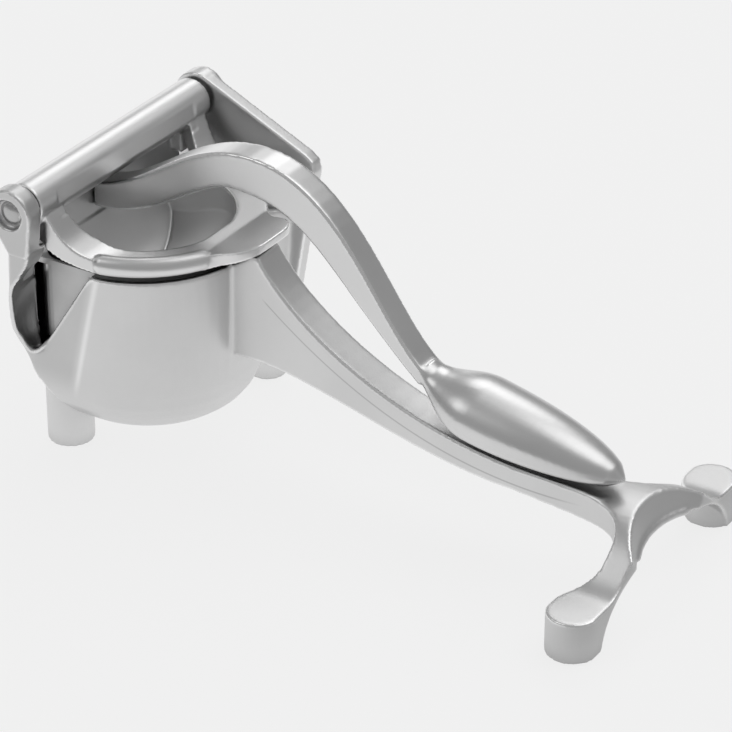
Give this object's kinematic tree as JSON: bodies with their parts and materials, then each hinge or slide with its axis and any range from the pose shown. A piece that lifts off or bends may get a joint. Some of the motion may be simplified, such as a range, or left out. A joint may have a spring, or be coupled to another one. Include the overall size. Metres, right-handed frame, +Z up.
{
  "type": "lever citrus press",
  "caption": "Cast aluminium lever press for citrus fruit, with a hinged press bowl over a strainer cup in a round vessel on a long forked foot.",
  "frame": {"origin": "on the table, at the bottom centre of the box around the whole press", "axes": "+X from the hinge along the arm to the fork, +Y along the hinge pin to the guard side, +Z up"},
  "size_m": [0.2904, 0.144, 0.145],
  "materials": {
    "cast_body": "satin cast",
    "cast_bowl": "satin cast",
    "polished_lever": "fine satin",
    "strainer_sheet": "satin",
    "pin_steel": "turned",
    "screw_steel": "turned",
    "bush_brass": "turned"
  },
  "bodies": {
    "stand": {"press_body": "cast_body", "strainer_cup": "strainer_sheet", "hinge_pin": "pin_steel", "thrust_washers": "pin_steel", "pin_clip": "pin_steel"},
    "press_arm": {"press_bowl": "cast_bowl", "lever": "polished_lever", "lever_screws": "screw_steel", "near_bush": "bush_brass", "far_bush": "bush_brass"}
  },
  "joints": [
    {"name": "lever_hinge", "type": "hinge", "parent": "stand", "child": "press_arm", "pos_m": [-0.12725, 0, 0.126], "axis": [0, -1, 0], "range_deg": [0, 100]}
  ]
}
